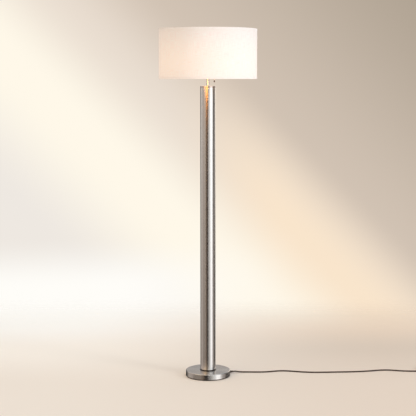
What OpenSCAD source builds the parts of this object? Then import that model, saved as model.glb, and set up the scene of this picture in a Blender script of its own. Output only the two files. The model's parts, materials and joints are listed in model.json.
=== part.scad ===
/* [Base] */
// Diameter of the base disc
base_d = 211; // [180:1:260]
// Height of the base disc, from the floor to its top face
base_h = 29; // [26:0.5:40]
// Radius of the rounded edge round the top of the base
base_edge_r = 2.5; // [1.5:0.5:5]
// Thickness of the spun steel base cover
cover_wall = 1.2; // [0.8:0.1:2]
// Height of the base cover's lower edge above the floor
floor_gap = 2.5; // [1.5:0.5:4]
// Thickness of the felt pad under the base
felt_t = 3; // [1:0.5:5]
// Distance from the base cover's inner wall to the felt pad's edge
felt_inset = 2; // [0.5:0.5:10]
// Thickness of the iron left between the rod's washer and the base cover
weight_web = 4.5; // [3:0.5:8]
// Diameter of the pocket under the middle of the base weight
pocket_d = 46; // [36:1:60]

/* [Column] */
// Outside diameter of the column
column_d = 72; // [50:1:100]
// Wall thickness of the column tube
column_wall = 1.2; // [0.8:0.1:3]
// Length of the column tube
column_len = 1347; // [900:1:1500]
// Thickness of the plate that closes the top of the column
cap_t = 3; // [2:0.5:6]
// Radius of the rounded edge of the column's top plate
cap_edge_r = 0.8; // [0.3:0.1:1.5]
// Depth of the spigots that centre the column tube at both ends
spigot_h = 8; // [5:0.5:15]

/* [Rod and nuts] */
// Outside diameter of the hollow threaded rod
rod_d = 10; // [9:0.5:12]
// Bore of the hollow threaded rod
rod_bore = 6; // [5:0.5:7]
// Length of the hollow threaded rod below the nut
rod_tail = 0.5; // [0.2:0.1:2]
// Width of the nuts across their flats
nut_af = 15; // [14:0.5:18]
// Thickness of the nut under the base
nut_t = 4.5; // [3:0.5:6]
// Diameter of the washer under the base
washer_d = 26; // [20:1:32]
// Thickness of the washer under the base
washer_t = 1.5; // [1:0.5:3]

/* [Neck and harp saddle] */
// Outside diameter of the neck tube above the column
neck_d = 14; // [13:0.5:20]
// Length of the neck tube above the column
neck_len = 40; // [20:1:80]
// Thickness of the harp saddle's strip
saddle_t = 2; // [1.5:0.1:3]
// Width of the harp saddle's strip under the socket
saddle_w = 17; // [15:0.5:22]
// Distance from the lamp's axis to the middle of each harp sleeve
saddle_r = 25; // [24:0.5:32]
// Height of the harp saddle's turned-up arms
saddle_arm_h = 26; // [20:0.5:32]
// Width of the harp saddle's arms
saddle_arm_w = 5; // [4:0.5:5.5]
// Thickness of the nut that clamps the harp saddle
saddle_nut_t = 3; // [2:0.5:5]

/* [Socket and bulb] */
// Outside diameter of the socket's cap
socket_d = 36; // [34:0.5:40]
// Thickness of the socket's metal walls
socket_wall = 0.8; // [0.5:0.1:1]
// Height of the collar that holds the socket on the rod
collar_h = 8; // [6:0.5:12]
// Height of the socket cap's straight skirt
cap_skirt_h = 10; // [6:0.5:14]
// Length of the socket's shell
shell_len = 50; // [45:1:60]
// Height of the switch body inside the socket
switch_h = 19; // [16:0.5:22]
// Diameter of the bulb's screw base
bulb_base_d = 26.4; // [25:0.1:27]
// Widest diameter of the bulb's glass
bulb_d = 60; // [45:1:65]
// Height of the bulb's widest place above the socket's rim
bulb_belly_h = 53; // [45:1:60]
// Wall thickness of the bulb's glass
bulb_wall = 0.8; // [0.5:0.1:1.5]

/* [Pull chain] */
// Distance from the lamp's axis to the hanging chain
chain_r = 29.5; // [28:0.5:36]
// Outside diameter of the guide tube that the chain leaves by
guide_d = 6.4; // [6:0.1:7]
// Bore of the chain's guide tube
guide_bore = 4.2; // [4:0.1:4.6]
// Bend radius of the guide tube, at its centre line
guide_bend_r = 6; // [5:0.5:8]
// Length of the guide tube's straight stretch that points down
guide_drop = 12; // [9:0.5:16]
// Diameter of the chain's beads
bead_d = 3.2; // [2.4:0.1:3.4]
// Distance from one bead to the next
bead_pitch = 4.3; // [4:0.1:5]
// Number of beads that hang from the guide
bead_count = 11; // [9:1:12]
// Diameter of the ball on the chain's end
chain_ball_d = 6.6; // [5:0.1:9]
// How far the chain is pulled to work the switch
chain_travel = 8; // [5:0.5:9]

/* [Harp] */
// Height of the harp's top above the harp saddle
harp_h = 191; // [175:1:240]
// Width of the harp, between the centres of its two sides
harp_w = 106; // [90:1:130]
// Thickness of the harp's wire
harp_wire = 4; // [3:0.1:4.5]
// Radius of the two bends at the foot of each side of the harp
harp_bend_r = 30; // [15:1:35]
// How far the foot of the harp leans out, as sideways run over height
harp_slope = 0.75; // [0.5:0.05:1.2]
// Straight length of the harp's ends above the saddle's arms
harp_leg = 14; // [8:0.5:20]
// Outside diameter of the sleeves that lock the harp
sleeve_d = 10; // [9.6:0.1:11]
// Length of the sleeves that lock the harp
sleeve_len = 15; // [10:0.5:20]
// Diameter of the flat boss at the top of the harp
boss_d = 12; // [10:0.5:16]
// Thickness of the stud's shoulder, which carries the shade
shoulder_t = 2; // [1:0.5:4]
// Diameter of the stud's shoulder
shoulder_d = 14; // [13:0.5:18]
// Diameter of the stud's thread
stud_d = 6.2; // [5:0.1:7]
// Length of the stud's thread
stud_len = 15; // [10:0.5:18]
// Height of the finial
finial_h = 21.5; // [18:0.5:24]
// Diameter of the finial's ball
finial_ball_d = 13; // [11:0.5:18]
// Diameter of the finial's foot
finial_foot_d = 16; // [14:0.5:20]

/* [Shade] */
// Outside diameter of the drum shade, over its trims
shade_d = 457; // [300:1:520]
// Height of the drum shade
shade_h = 230; // [200:1:320]
// Thickness of the shade's fabric and its stiff lining
fabric_t = 1.3; // [0.8:0.1:2]
// Thickness of the trim's tape
trim_t = 0.6; // [0.3:0.1:1]
// Height of the trim on the outside of the shade
trim_h = 11; // [8:0.5:20]
// Height of the trim's hem on the inside of the shade
hem_h = 7; // [5.5:0.5:12]
// Thickness of the shade's wire rings
ring_wire = 3.2; // [2.5:0.1:4]
// Thickness of the spider's arms
arm_wire = 3; // [2.5:0.1:4]
// Number of the spider's arms
arm_count = 3; // [3:1:4]
// Angle of the spider's first arm round the lamp
arm_start = 90; // [0:5:90]
// Depth of the spider's hub below the shade's top edge
hub_depth = 26; // [24:0.5:40]
// Outside diameter of the spider's hub
hub_d = 26; // [22:1:34]
// Hole through the spider's hub
hub_hole = 10.6; // [8:0.1:12]
// Thickness of the spider's hub
hub_t = 3; // [3:0.5:5]

/* [Lead and plug] */
// Diameter of the supply lead
cord_d = 6.5; // [5.5:0.1:7]
// Diameter of the lead's inner cores, inside the lamp
core_d = 4; // [3:0.1:4.5]
// Bend radius of the inner cores under the rod
core_bend_r = 7.5; // [6:0.5:9]
// Height of the lead's exit above the floor
exit_z = 9; // [8.5:0.5:12]
// Angle of the lead's exit, round towards the back
exit_angle = 18; // [0:1:60]
// Diameter of the strain relief's barrel in the base
barrel_d = 9.6; // [8:0.1:10.4]
// Length of the strain relief's barrel inside the base
barrel_len = 12; // [6:0.5:18]
// Diameter of the strain relief's flange
flange_d = 13; // [12:0.5:14]
// Length of the strain relief outside the base
relief_len = 22; // [20:1:40]
// Diameter of the strain relief at its tip
relief_tip_d = 8.4; // [7.6:0.1:9]
// Innermost radius of the put-away coil, at the lead's centre
coil_in_r = 26; // [24:1:30]
// Loops in each of the coil's two layers
coil_turns = 2.875; // [1.875:1:3.875]
// Distance from one loop of the coil to the next
coil_pitch = 7.2; // [7:0.1:8]
// Height from the coil's lower layer to its upper layer
coil_step = 7.2; // [7.1:0.1:8]
// Width of the tie round the coil
tie_w = 9; // [6:0.5:12]
// Thickness of the tie's tape
tie_t = 0.8; // [0.6:0.1:1]
// Length of the plug's moulded body
plug_len = 27; // [22:1:35]
// Width of the plug's moulded body
plug_w = 25; // [22:1:30]
// Thickness of the plug's moulded body
plug_t = 15; // [12:0.5:18]
// Length of the plug's tapered neck
plug_neck_len = 16; // [12:1:25]
// Length of the plug's blades
blade_len = 17; // [15:0.5:19]
// Width of the plug's blades
blade_w = 6.4; // [6:0.1:8]
// Thickness of the plug's blades
blade_t = 1.5; // [1.3:0.1:1.8]
// Distance between the centres of the two blades
blade_gap = 12.7; // [12:0.1:14]

/* [Fits] */
// Clearance round a fixed piece in its hole
fit_gap = 0.2; // [0.1:0.05:0.3]
// Clearance round a thread, which is drawn as a plain cylinder
thread_gap = 0.1; // [0.05:0.05:0.2]
// Clearance beside a piece of another form
side_gap = 0.3; // [0.2:0.05:0.5]

/* [Hidden] */
$fn = 96;
over = 1; // how far a cut runs past the face that it opens

// Heights up the lamp, from the floor
cover_top_in = base_h - cover_wall;
web_z = cover_top_in - weight_web;
washer_z = web_z - washer_t;
nut_z = washer_z - nut_t;
rod_z = nut_z - rod_tail;
tube_top_z = base_h + column_len;
column_top_z = tube_top_z + cap_t;
saddle_z = column_top_z + neck_len;
saddle_nut_z = saddle_z + saddle_t;
socket_z = saddle_nut_z + saddle_nut_t;
rod_top_z = socket_z + collar_h;

// Radii of the base and the column
base_r = base_d / 2;
cover_in_r = base_r - cover_wall;
weight_r = cover_in_r - side_gap;
felt_r = cover_in_r - felt_inset;
column_r = column_d / 2;
spigot_r = column_r - column_wall - fit_gap;
rod_hole_r = rod_d / 2 + fit_gap;
channel_room = 0.8;
channel_w = barrel_d + 2 * channel_room;
channel_h = exit_z + channel_w / 2 + side_gap - felt_t;

// Socket, from its collar up
dome_r = 10;
dome_drop = 2;
cap_outer_r = socket_d / 2;
collar_r = cap_outer_r - dome_r;
cap_skirt_z = rod_top_z - dome_drop + dome_r;
cap_rim_z = cap_skirt_z + cap_skirt_h;
shell_r = cap_outer_r - socket_wall - fit_gap;
shell_seat = 2;
shell_z = cap_skirt_z + shell_seat;
shell_rim_z = shell_z + shell_len;
shell_bead_r = 1;
liner_t = 0.6;
liner_r = shell_r - socket_wall - fit_gap;
liner_z = shell_z + 2;
liner_top_z = shell_rim_z - 1;
switch_r = liner_r - liner_t - fit_gap;
switch_seat = 6;
switch_z = cap_skirt_z + switch_seat;
switch_top_z = switch_z + switch_h;
screw_shell_wall = 0.5;
screw_shell_r = bulb_base_d / 2 + 2 * screw_shell_wall;
screw_shell_top_z = shell_rim_z - 3;
contact_r = 4.5;
contact_h = 2;
terminal_d = 6;
terminal_h = 3;

// Bulb, which stands on the centre contact
bulb_tip_z = switch_top_z + contact_h + side_gap;
bulb_tip_r = 3;
bulb_tip_h = 1.2;
bulb_cone_r = 6;
bulb_cone_h = 3;
bulb_cone_edge = 2;
bulb_base_wall = 0.7;
bulb_neck_r = bulb_base_d / 2 - bulb_base_wall - fit_gap;
bulb_neck_z = shell_rim_z - 5;
bulb_base_top_z = shell_rim_z - 1;
bulb_belly_z = shell_rim_z + bulb_belly_h;

// Pull chain and its guide, whose collar clears the bead round the shell
guide_collar_r = guide_d / 2 + 1.5;
guide_collar_t = 1.5;
chain_z = cap_rim_z + fit_gap + 2 * shell_bead_r + guide_collar_r + side_gap;
guide_in_r = switch_r + fit_gap;
guide_bend_x = chain_r - guide_bend_r;
guide_bend_z = chain_z - guide_bend_r;
guide_mouth_z = guide_bend_z - guide_drop;
guide_lip = 1;
guide_lip_h = 2.5;
guide_flare_h = 1.5;
bead_peek = 1;
top_bead_z = guide_mouth_z + chain_travel + bead_d / 2 - bead_peek;
last_bead_z = top_bead_z - (bead_count - 1) * bead_pitch;
chain_wire_d = 0.9;
chain_ball_z = last_bead_z - bead_d / 2 - chain_ball_d / 2;

// Harp, sleeves and the stud that carries the shade
harp_top_z = saddle_nut_z + harp_h;
harp_r = harp_w / 2;
harp_lean = atan(harp_slope);
sleeve_wall = 0.7;
sleeve_bore_r = sleeve_d / 2 - sleeve_wall;
leg_y = saddle_r - harp_wire / 2;
saddle_arm_y = saddle_r + side_gap;
saddle_arm_top_z = saddle_nut_z + saddle_arm_h;
sleeve_rise = 3;
sleeve_z = saddle_arm_top_z + sleeve_rise - sleeve_len;

// Harp in its own frame, with heights above the saddle's top face
leg_inset = 2;
leg_h = sleeve_z + leg_inset - saddle_nut_z;
lean_h = saddle_arm_h + harp_leg;
bend_run = harp_bend_r * (1 - cos(harp_lean));
bend_rise = harp_bend_r * sin(harp_lean);
lean_run = harp_r - leg_y - 2 * bend_run;
lean_rise = lean_run / harp_slope;
side_h = lean_h + 2 * bend_rise + lean_rise;
arch_h = harp_h - harp_r;
bend_steps = 5;
arch_steps = 24;
wire_sides = 12;
boss_lip = 0.4;
boss_top_z = harp_top_z + harp_wire / 2;
rivet_d = 4;
rivet_head_d = 8;
rivet_head_t = 1.5;
hub_z = boss_top_z + shoulder_t;
finial_z = hub_z + hub_t;

// Shade, which hangs from the stud's shoulder
shade_top_z = hub_z + hub_depth;
shade_z = shade_top_z - shade_h;
shade_r = shade_d / 2;
fabric_r = shade_r - trim_t;
fabric_in_r = fabric_r - fabric_t;
ring_r = fabric_in_r - fit_gap - ring_wire / 2;
hem_r = ring_r - ring_wire / 2 - fit_gap;
top_ring_z = shade_top_z - trim_t - fit_gap - ring_wire / 2;
bottom_ring_z = shade_z + trim_t + fit_gap + ring_wire / 2;
arm_z = hub_z + hub_t / 2;
arm_rise = top_ring_z - arm_z;
arm_root = 2;
arm_lean = atan(4 / 3);
arm_bend_r = 15;
arm_bend_run = arm_bend_r * sin(arm_lean);
arm_bend_rise = arm_bend_r * (1 - cos(arm_lean));
arm_level_end = ring_r - arm_bend_run - (arm_rise - arm_bend_rise) / tan(arm_lean);
hem_notch_w = arm_wire + 2;

// Strain relief in the side of the base
relief_tip_r = base_r + relief_len;
flange_t = 2.5;
flange_step = 0.75;
relief_grooves = 3;
groove_w = 1.4;
groove_depth = 0.8;

// Route of the lead over the floor, chosen by hand; it starts at the strain relief's tip
floor_lead_z = 3.3;
exit_dir = [cos(exit_angle), sin(exit_angle), 0];
cord_start = relief_tip_r * exit_dir + [0, 0, exit_z];
cord_floor_points = [
    [147, 46.8, 6.2], [168, 50.5, 3.9], [192, 52, 3.3], [224, 51, 3.3], [258, 51, 3.3],
    [290, 56, 3.3], [322, 66, 3.3], [354, 73, 3.3], [388, 71, 3.3], [424, 61, 3.3],
    [462, 51, 3.3], [510, 45, 3.3], [560, 46, 3.3], [620, 50, 3.3], [680, 54, 3.3],
    [736, 61, 3.3], [784, 71, 3.3], [828, 84, 3.3], [868, 89, 3.3], [902, 83, 3.3],
    [936, 73, 3.3], [972, 68, 3.3], [1012, 67, 3.3], [1048, 67, 3.9],
];
cord_straight = 6;
cord_points = concat([for (i = [0:2]) cord_start + i * cord_straight * exit_dir], cord_floor_points);
cord_steps = 2;
cord_sides = 10;

// Coil of the lead that is put away beyond the laid-out stretch, and its plug
coil_start = [1076, 67, 4.4];
coil_out_r = coil_in_r + coil_pitch * coil_turns;
coil_centre = coil_start + [0, coil_out_r, 0];
coil_spiral = 360 * coil_turns;
coil_climb = 180;
coil_end = 2 * coil_spiral + coil_climb;
coil_ring_step = 15;
coil_sides = 6;
coil_tail = 40;
coil_tail_steps = 5;
plug_z = plug_t / 2 + 0.3;
tie_angle = 135;
tie_clear = 0.4;
plug_start = coil_centre + [coil_out_r, coil_tail + cord_d, plug_z - coil_start[2]];
plug_neck_d = 13;
plug_corner_r = 4;
plug_face_cut = 1;
plug_face_x = plug_neck_len + plug_len - plug_face_cut;

// Point on a smooth curve through b and c, a share t of the way from b to c
function curve_point(a, b, c, d, t) =
    0.5 * (2 * b + (c - a) * t + (2 * a - 5 * b + 4 * c - d) * t * t
    + (3 * b - a - 3 * c + d) * t * t * t);

// Curve through a list of points, with a number of steps between each pair
function smooth_route(p, steps) =
    let (n = len(p), q = concat([2 * p[0] - p[1]], p, [2 * p[n - 1] - p[n - 2]]))
    concat(
        [for (i = [0:n - 2], s = [0:steps - 1]) curve_point(q[i], q[i + 1], q[i + 2], q[i + 3], s / steps)],
        [p[n - 1]]
    );

function unit(v) = v / norm(v);

// Direction of a route at one of its points
function heading(p, i) = unit(p[min(i + 1, len(p) - 1)] - p[max(i - 1, 0)]);

// Ring of points round one point of a route; level is a direction that the route never takes
function route_ring(p, i, r, sides, level) =
    let (ahead = heading(p, i), side = unit(cross(ahead, level)), up = cross(side, ahead))
    [for (k = [0:sides - 1]) p[i] + r * (cos(360 * k / sides) * side + sin(360 * k / sides) * up)];

// Points on an arc in the X-Z plane
function arc_points(centre, r, from, to, steps) =
    [for (i = [0:steps])
        let (a = from + (to - from) * i / steps)
        [centre[0] + r * cos(a), 0, centre[1] + r * sin(a)]];

// Ease from 0 to 1 as u goes from 0 to 1
function ease(u) = let (t = min(max(u, 0), 1)) t * t * (3 - 2 * t);

// Radius of the coil's centre line after it has turned through an angle
function coil_r(a) =
    a < coil_spiral ? coil_out_r - coil_pitch * a / 360
    : a < coil_spiral + coil_climb
        ? let (u = a - coil_spiral) coil_in_r - coil_pitch / 360 * (u - u * u / coil_climb)
    : coil_in_r + coil_pitch * (a - coil_spiral - coil_climb) / 360;

// Point on the coil's centre line after it has turned through an angle
function coil_point(a) =
    coil_centre + [coil_r(a) * sin(a), -coil_r(a) * cos(a), coil_step * ease((a - coil_spiral) / coil_climb)];

// Whole centre line of the coil, straight at both of its ends
function coil_line(step) =
    let (last = coil_point(coil_end), drop = plug_z - last[2])
    concat(
        [coil_start - [cord_d, 0, 0]],
        [for (a = [0:step:coil_end]) coil_point(a)],
        [for (s = [1:coil_tail_steps])
            last + [0, coil_tail * s / coil_tail_steps, drop * ease(s / coil_tail_steps)]],
        [last + [0, coil_tail + cord_d, drop]]
    );

// Least distance from the coil's surface to itself, on points of its centre line
fine_line = coil_line(5);
fine_skip = 24;
coil_gap = min([
    for (i = [0:len(fine_line) - 1], j = [i + fine_skip:2:len(fine_line) - 1])
        norm(fine_line[i] - fine_line[j])
]) - cord_d;
echo(coil_least_gap_mm = coil_gap);

// Tube swept along a list of points
module tube(p, d, sides, level = [0, 0, 1]) {
    n = len(p);
    polyhedron(
        points = [for (i = [0:n - 1]) each route_ring(p, i, d / 2, sides, level)],
        faces = concat(
            [for (k = [1:sides - 2]) [0, k + 1, k]],
            [for (k = [1:sides - 2]) [(n - 1) * sides, (n - 1) * sides + k, (n - 1) * sides + k + 1]],
            [for (i = [0:n - 2], k = [0:sides - 1])
                [i * sides + k, i * sides + (k + 1) % sides, (i + 1) * sides + k]],
            [for (i = [0:n - 2], k = [0:sides - 1])
                [i * sides + (k + 1) % sides, (i + 1) * sides + (k + 1) % sides, (i + 1) * sides + k]]
        )
    );
}

// Plain round hole or pin on the lamp's axis
module round_bar(r, z0, z1) {
    translate([0, 0, z0]) cylinder(r = r, h = z1 - z0);
}

// Flat ring on the lamp's axis
module round_ring(r_out, r_in, z0, z1) {
    difference() {
        round_bar(r_out, z0, z1);
        round_bar(r_in, z0 - over, z1 + over);
    }
}

// Half section of a disc with a rounded top edge
module rounded_section(r, z0, z1, edge) {
    translate([0, z0]) square([r - edge, z1 - z0]);
    translate([0, z0]) square([r, z1 - z0 - edge]);
    translate([r - edge, z1 - edge]) circle(r = edge);
}

// Wire bent to an arc, upright in the X-Z plane
module wire_arc(centre, r, from, angle, wire) {
    translate([centre[0], 0, centre[1]])
        rotate([90, 0, 0])
            rotate([0, 0, from])
                rotate_extrude(angle = angle)
                    translate([r, 0]) circle(d = wire, $fn = 48);
}

// Frame along the lead's exit: X runs out of the base and the origin is on the lamp's axis
module at_exit() {
    rotate([0, 0, exit_angle]) translate([0, 0, exit_z]) rotate([0, 90, 0]) children();
}

// Base

module felt_pad() {
    color("dimgray") round_bar(felt_r, 0, felt_t);
}

module base_weight() {
    color("slategray")
        difference() {
            rotate_extrude()
                difference() {
                    rounded_section(weight_r, felt_t, cover_top_in, base_edge_r);
                    translate([0, -over]) square([rod_hole_r, base_h + 2 * over]);
                    translate([0, felt_t - over]) square([pocket_d / 2, web_z - felt_t + over]);
                }
            rotate([0, 0, exit_angle])
                translate([0, -channel_w / 2, felt_t - over]) cube([base_r, channel_w, channel_h + over]);
        }
}

module base_cover() {
    color("silver")
        difference() {
            rotate_extrude()
                difference() {
                    rounded_section(base_r, floor_gap, base_h, base_edge_r);
                    rounded_section(cover_in_r, floor_gap - over, cover_top_in, base_edge_r - cover_wall / 2);
                    translate([0, -over]) square([rod_hole_r, base_h + 2 * over]);
                }
            at_exit() translate([0, 0, base_r - 2 * barrel_len])
                cylinder(d = barrel_d + 2 * fit_gap, h = 2 * barrel_len + over);
        }
}

module rod_washer() {
    color("goldenrod") round_ring(washer_d / 2, rod_hole_r, washer_z, web_z);
}

// Hexagon nut on the rod
module hex_nut(z, t) {
    difference() {
        translate([0, 0, z]) cylinder(d = nut_af / cos(30), h = t, $fn = 6);
        round_bar(rod_d / 2 + thread_gap, z - over, z + t + over);
    }
}

module rod_nut() {
    color("goldenrod") hex_nut(nut_z, nut_t);
}

// Column

module column_seat() {
    color("gray") round_ring(spigot_r, rod_hole_r, base_h, base_h + spigot_h);
}

module column_tube() {
    color("silver") round_ring(column_r, column_r - column_wall, base_h, tube_top_z);
}

module column_cap() {
    color("silver") {
        rotate_extrude()
            difference() {
                union() {
                    rounded_section(column_r, tube_top_z, column_top_z, cap_edge_r);
                    translate([0, tube_top_z - spigot_h]) square([spigot_r, spigot_h]);
                }
                translate([0, tube_top_z - 2 * spigot_h]) square([spigot_r - 2, 2 * spigot_h]);
                translate([0, tube_top_z - over]) square([rod_hole_r, cap_t + 2 * over]);
            }
    }
}

module threaded_rod() {
    color("lightgray") round_ring(rod_d / 2, rod_bore / 2, rod_z, rod_top_z);
}

module inner_lead() {
    color("sienna")
        translate([0, 0, exit_z]) rotate([0, 0, exit_angle]) {
            translate([0, 0, core_bend_r])
                cylinder(d = core_d, h = switch_z - exit_z - core_bend_r, $fn = 48);
            wire_arc([core_bend_r, core_bend_r], core_bend_r, 180, 90, core_d);
            translate([core_bend_r, 0, 0]) rotate([0, 90, 0])
                cylinder(d = core_d, h = base_r - barrel_len - core_bend_r, $fn = 48);
        }
}

module neck_tube() {
    color("silver") round_ring(neck_d / 2, rod_hole_r, column_top_z, saddle_z);
}

// Harp saddle and socket

module harp_saddle() {
    foot = saddle_arm_y + saddle_t;
    color("silver")
        difference() {
            union() {
                translate([-saddle_arm_w / 2, -foot, saddle_z]) cube([saddle_arm_w, 2 * foot, saddle_t]);
                translate([0, 0, saddle_z]) cylinder(d = saddle_w, h = saddle_t);
                for (side = [-1, 1])
                    translate([
                        -saddle_arm_w / 2,
                        side * (saddle_arm_y + saddle_t / 2) - saddle_t / 2,
                        saddle_z,
                    ])
                        cube([saddle_arm_w, saddle_t, saddle_t + saddle_arm_h]);
            }
            round_bar(rod_hole_r, saddle_z - over, saddle_nut_z + over);
        }
}

module saddle_nut() {
    color("goldenrod") hex_nut(saddle_nut_z, saddle_nut_t);
}

// Half section of the socket cap, or of the space in it when inset by the wall
module cap_section(inset, floor_z) {
    translate([0, floor_z]) square([collar_r, cap_skirt_z - floor_z + inset]);
    intersection() {
        translate([collar_r, cap_skirt_z]) circle(r = dome_r - inset);
        translate([collar_r - over, cap_skirt_z - dome_r]) square([dome_r + over, dome_r]);
    }
    translate([0, cap_skirt_z - inset / 2])
        square([cap_outer_r - inset, cap_skirt_h + inset]);
}

module socket_cap() {
    color("lightsteelblue")
        rotate_extrude()
            difference() {
                intersection() {
                    cap_section(0, socket_z);
                    translate([0, socket_z]) square([socket_d, cap_rim_z - socket_z]);
                }
                cap_section(socket_wall, rod_top_z);
                translate([0, socket_z - over]) square([rod_d / 2 + thread_gap, collar_h + 2 * over]);
            }
}

// Hole for the chain's guide through the socket's walls
module guide_hole(gap) {
    translate([0, 0, chain_z]) rotate([0, 90, 0]) cylinder(d = guide_d + 2 * gap, h = socket_d);
}

module socket_shell() {
    color("lightsteelblue")
        difference() {
            union() {
                round_bar(shell_r, shell_z, shell_rim_z);
                for (z = [cap_rim_z + fit_gap + shell_bead_r, shell_rim_z - shell_bead_r])
                    translate([0, 0, z])
                        rotate_extrude() translate([shell_r, 0]) circle(r = shell_bead_r, $fn = 48);
            }
            round_bar(shell_r - socket_wall, shell_z - over, shell_rim_z + over);
            guide_hole(thread_gap);
        }
}

module socket_liner() {
    color("tan")
        difference() {
            round_ring(liner_r, liner_r - liner_t, liner_z, liner_top_z);
            guide_hole(fit_gap);
        }
}

module switch_body() {
    color("saddlebrown")
        difference() {
            round_bar(switch_r, switch_z, switch_top_z);
            translate([0, 0, chain_z]) rotate([0, 90, 0]) cylinder(d = guide_bore, h = socket_d);
            for (side = [-1, 1])
                translate([0, side * (switch_r - terminal_h), chain_z]) rotate([-90 * side, 0, 0])
                    cylinder(d = terminal_d + 2 * side_gap, h = 2 * terminal_h);
        }
}

module terminal_screws() {
    head_h = terminal_h - 0.6;
    slot_w = 1;
    slot_depth = 0.8;
    color("gold")
        for (side = [-1, 1])
            translate([0, side * (switch_r - terminal_h), chain_z])
                rotate([-90 * side, 0, 0])
                    difference() {
                        cylinder(d = terminal_d, h = head_h);
                        translate([-terminal_d, -slot_w / 2, head_h - slot_depth])
                            cube([2 * terminal_d, slot_w, slot_depth + over]);
                    }
}

module screw_shell() {
    color("gold") {
        round_ring(screw_shell_r, screw_shell_r - screw_shell_wall, switch_top_z, screw_shell_top_z);
        round_ring(screw_shell_r, screw_shell_r / 2, switch_top_z, switch_top_z + screw_shell_wall);
    }
}

module centre_contact() {
    color("gold") translate([0, 0, switch_top_z]) cylinder(r1 = contact_r, r2 = bulb_tip_r, h = contact_h);
}

module bulb_base() {
    cone_z = bulb_tip_z + bulb_tip_h;
    color("gainsboro")
        rotate_extrude()
            difference() {
                union() {
                    translate([0, bulb_tip_z]) square([bulb_tip_r, bulb_tip_h + over]);
                    polygon([
                        [0, cone_z], [bulb_cone_r, cone_z],
                        [bulb_base_d / 2 - bulb_cone_edge, cone_z + bulb_cone_h],
                        [bulb_base_d / 2, cone_z + bulb_cone_h + bulb_cone_edge],
                        [bulb_base_d / 2, bulb_base_top_z], [0, bulb_base_top_z],
                    ]);
                }
                translate([0, bulb_neck_z]) square([bulb_neck_r + fit_gap, bulb_base_top_z]);
            }
}

// Half section of the bulb: a ball with a cone that meets it smoothly at the neck
module bulb_section(inset) {
    ball_r = bulb_d / 2 - inset;
    neck_r = bulb_neck_r - inset;
    reach = norm([neck_r, bulb_belly_h]);
    tilt = acos(ball_r / reach) + atan2(neck_r, bulb_belly_h) - 90;
    translate([0, bulb_belly_z]) circle(r = ball_r);
    polygon([
        [0, shell_rim_z], [neck_r, shell_rim_z],
        [ball_r * cos(tilt), bulb_belly_z - ball_r * abs(sin(tilt))], [0, bulb_belly_z],
    ]);
    translate([0, bulb_neck_z + inset]) square([neck_r, shell_rim_z - bulb_neck_z]);
}

module bulb_glass() {
    color("ivory")
        rotate_extrude()
            intersection() {
                difference() {
                    bulb_section(0);
                    bulb_section(bulb_wall);
                }
                translate([0, bulb_neck_z]) square([bulb_d, bulb_belly_z + bulb_d]);
            }
}

// Pull chain

// Guide tube: out of the socket, round a bend and down
module guide_form(d, past) {
    translate([guide_in_r - past, 0, chain_z]) rotate([0, 90, 0])
        cylinder(d = d, h = guide_bend_x - guide_in_r + past, $fn = 48);
    wire_arc([guide_bend_x, guide_bend_z], guide_bend_r, 0, 90, d);
    translate([chain_r, 0, guide_mouth_z - past])
        cylinder(d = d, h = guide_drop + past, $fn = 48);
}

module chain_guide() {
    collar_x = shell_r + side_gap;
    color("lightsteelblue")
        difference() {
            union() {
                guide_form(guide_d, 0);
                translate([collar_x, 0, chain_z]) rotate([0, 90, 0])
                    cylinder(r1 = guide_collar_r, r2 = guide_collar_r - guide_lip, h = guide_collar_t);
                translate([chain_r, 0, guide_mouth_z])
                    cylinder(d1 = guide_d + 2 * guide_lip, d2 = guide_d, h = guide_lip_h);
            }
            guide_form(guide_bore, over);
            translate([chain_r, 0, guide_mouth_z - 0.01])
                cylinder(d1 = guide_bore + guide_lip, d2 = guide_bore - 0.01, h = guide_flare_h);
        }
}

module pull_chain() {
    color("dimgray") {
        for (i = [0:bead_count - 1])
            translate([chain_r, 0, top_bead_z - i * bead_pitch]) sphere(d = bead_d, $fn = 32);
        translate([chain_r, 0, last_bead_z])
            cylinder(d = chain_wire_d, h = top_bead_z - last_bead_z, $fn = 24);
    }
}

module chain_ball() {
    neck_sink = 1.2;
    neck_h = 3;
    neck_wall = 0.8;
    neck_z = chain_ball_z + chain_ball_d / 2 - neck_sink;
    color("dimgray")
        difference() {
            union() {
                translate([chain_r, 0, chain_ball_z]) sphere(d = chain_ball_d, $fn = 48);
                translate([chain_r, 0, neck_z]) cylinder(d = bead_d + 2 * neck_wall, h = neck_h, $fn = 48);
            }
            translate([chain_r, 0, last_bead_z]) sphere(d = bead_d + 2 * fit_gap, $fn = 48);
            translate([chain_r, 0, last_bead_z]) cylinder(d = bead_d + 2 * fit_gap, h = bead_d, $fn = 48);
        }
}

// Harp

// Centre line of one side of the harp in the X-Z plane, from its foot to the arch
harp_side_line = concat(
    [[leg_y, 0, leg_h]],
    arc_points([leg_y + harp_bend_r, lean_h], harp_bend_r, 180, 180 - harp_lean, bend_steps),
    arc_points([harp_r - harp_bend_r, side_h], harp_bend_r, -harp_lean, 0, bend_steps)
);
harp_line = concat(
    harp_side_line,
    arc_points([0, arch_h], harp_r, 0, 180, arch_steps),
    [for (i = [len(harp_side_line) - 1:-1:0]) [-harp_side_line[i][0], 0, harp_side_line[i][2]]]
);

module harp() {
    color("silver")
        translate([0, 0, saddle_nut_z]) rotate([0, 0, 90])
            difference() {
                union() {
                    tube(harp_line, harp_wire, wire_sides, [0, 1, 0]);
                    round_bar(boss_d / 2, harp_h - harp_wire / 2 - boss_lip, harp_h + harp_wire / 2);
                }
                round_bar(rivet_d / 2 + thread_gap, harp_h - 2 * harp_wire, harp_h + 2 * harp_wire);
                round_bar(boss_d, harp_h + harp_wire / 2, harp_h + 2 * harp_wire);
            }
}

module harp_sleeves() {
    color("silver")
        for (side = [-1, 1])
            translate([0, side * saddle_r, 0])
                round_ring(sleeve_d / 2, sleeve_bore_r, sleeve_z, sleeve_z + sleeve_len);
}

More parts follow.
